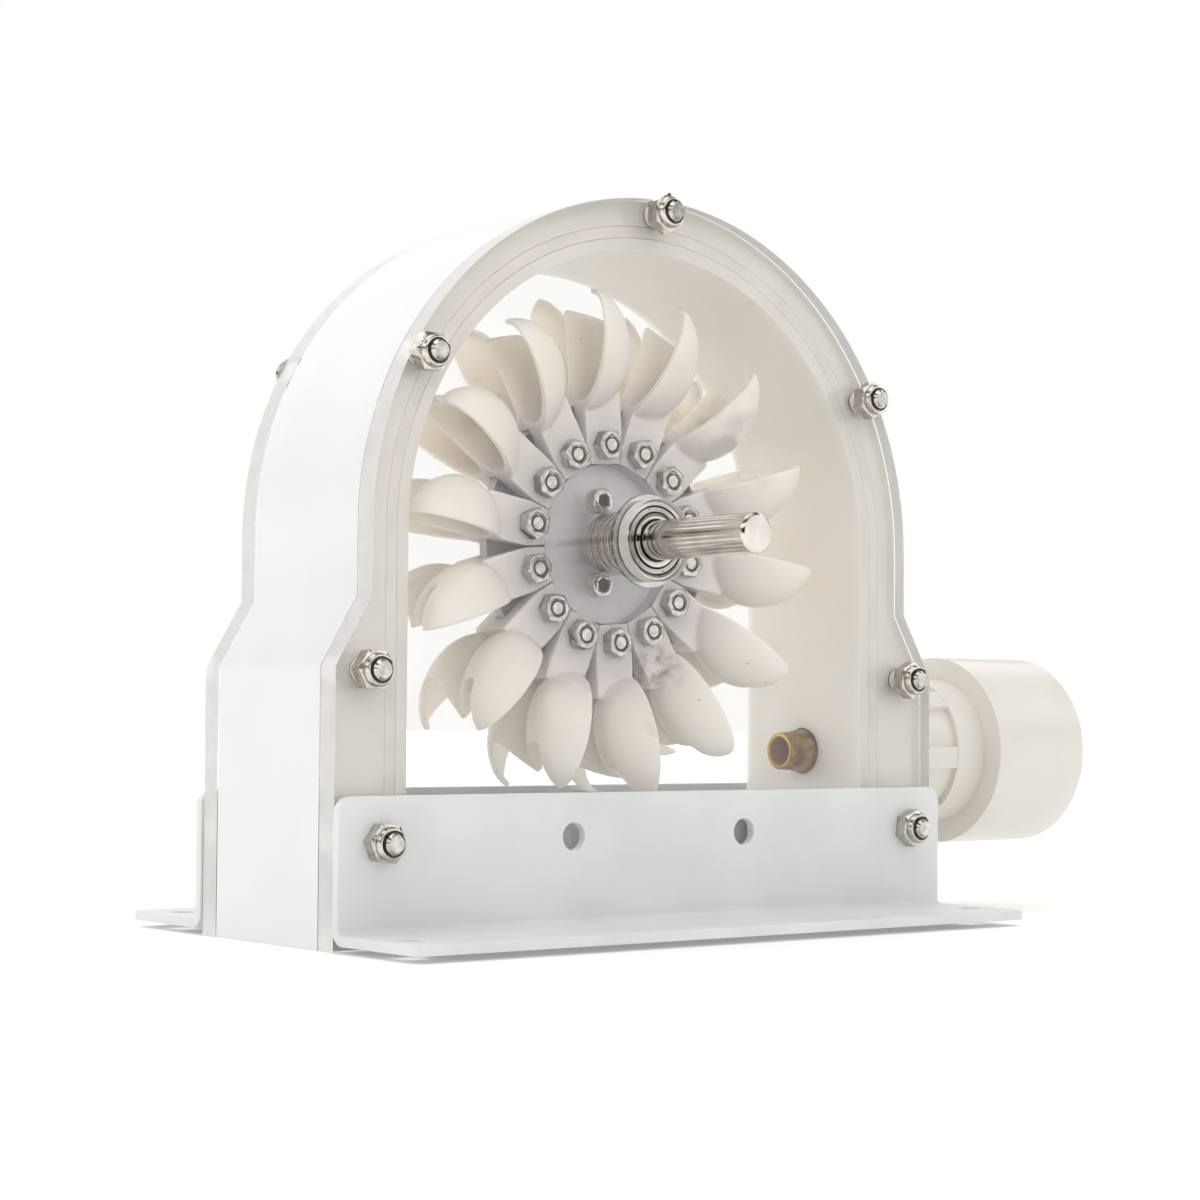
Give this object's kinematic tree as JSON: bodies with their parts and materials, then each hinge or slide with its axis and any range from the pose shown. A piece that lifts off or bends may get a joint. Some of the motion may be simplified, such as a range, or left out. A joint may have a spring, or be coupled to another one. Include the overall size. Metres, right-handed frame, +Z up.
{
  "type": "pelton wheel",
  "caption": "Small Pelton turbine: a wheel of split cup buckets on a shaft inside an open-bottomed casing with clear plates, a jet nozzle and a pipe socket.",
  "frame": {"origin": "middle of the footprint, at the level that the casing stands on", "axes": "+X towards the pipe socket, +Y from the front plate to the back plate, +Z up"},
  "size_m": [0.2058, 0.104, 0.1471],
  "materials": {
    "pale_plastic": "satin, slightly translucent",
    "clear_acrylic": "polished faces, sawn edges",
    "seal": "matt",
    "painted_aluminium": "satin",
    "stainless_steel": "bright",
    "hub_grey": "satin",
    "cast_resin": "satin, slightly translucent",
    "brass": "tarnished",
    "ivory_plastic": "satin gloss"
  },
  "bodies": {
    "casing": {"casing": "pale_plastic", "front_seal": "seal", "back_seal": "seal", "front_plate": "clear_acrylic", "back_plate": "clear_acrylic", "front_bracket": "painted_aluminium", "back_bracket": "painted_aluminium", "front_bearing": "stainless_steel", "back_bearing": "stainless_steel", "nozzle": "brass", "pipe_fitting": "ivory_plastic"},
    "runner": {"shaft": "stainless_steel", "front_spacer": "stainless_steel", "back_spacer": "stainless_steel", "wheel_disc": "hub_grey", "front_hub_plate": "hub_grey", "back_hub_plate": "hub_grey", "bucket_01": "cast_resin", "bucket_02": "cast_resin", "bucket_03": "cast_resin", "bucket_04": "cast_resin", "bucket_05": "cast_resin", "bucket_06": "cast_resin", "bucket_07": "cast_resin", "bucket_08": "cast_resin", "bucket_09": "cast_resin", "bucket_10": "cast_resin", "bucket_11": "cast_resin", "bucket_12": "cast_resin", "bucket_13": "cast_resin", "bucket_14": "cast_resin"}
  },
  "joints": [
    {"name": "runner_spin", "type": "hinge", "parent": "casing", "child": "runner", "pos_m": [-0.02605, 0.001, 0.0785], "axis": [0, 1, 0], "continuous": true}
  ]
}
